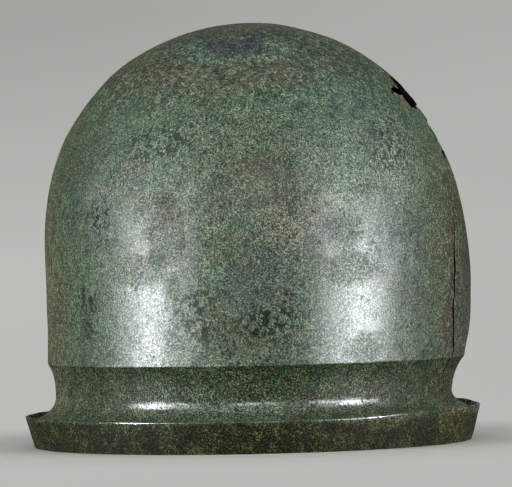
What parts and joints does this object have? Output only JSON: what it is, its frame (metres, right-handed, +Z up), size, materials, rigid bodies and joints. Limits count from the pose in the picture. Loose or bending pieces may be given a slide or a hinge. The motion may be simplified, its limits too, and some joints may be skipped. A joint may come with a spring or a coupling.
{
  "type": "bronze helmet",
  "caption": "Tall round bronze war helmet with a sharp ledge, hollow throat and sloping brim over a pierced lining ring.",
  "frame": {"origin": "middle of the foot that the helmet stands on, at the height of the foot", "axes": "+Z up to the crown, -Y the way the wearer faces, +X to the wearer's left"},
  "size_m": [0.232, 0.262, 0.2135],
  "materials": {
    "bowl_bronze": "dark green patina, smooth and half glossy, pitted in places",
    "ring_bronze": "dull green patina",
    "rivet_bronze": "brown green patina, rubbed heads"
  },
  "bodies": {
    "root": {"helmet_bowl": "bowl_bronze", "lining_ring": "ring_bronze", "ring_rivet_01": "rivet_bronze", "ring_rivet_02": "rivet_bronze", "ring_rivet_03": "rivet_bronze", "ring_rivet_04": "rivet_bronze", "ring_rivet_05": "rivet_bronze", "ring_rivet_06": "rivet_bronze", "ring_rivet_07": "rivet_bronze", "ring_rivet_08": "rivet_bronze", "ring_rivet_09": "rivet_bronze", "ring_rivet_10": "rivet_bronze", "ring_rivet_11": "rivet_bronze", "ring_rivet_12": "rivet_bronze"}
  },
  "joints": []
}
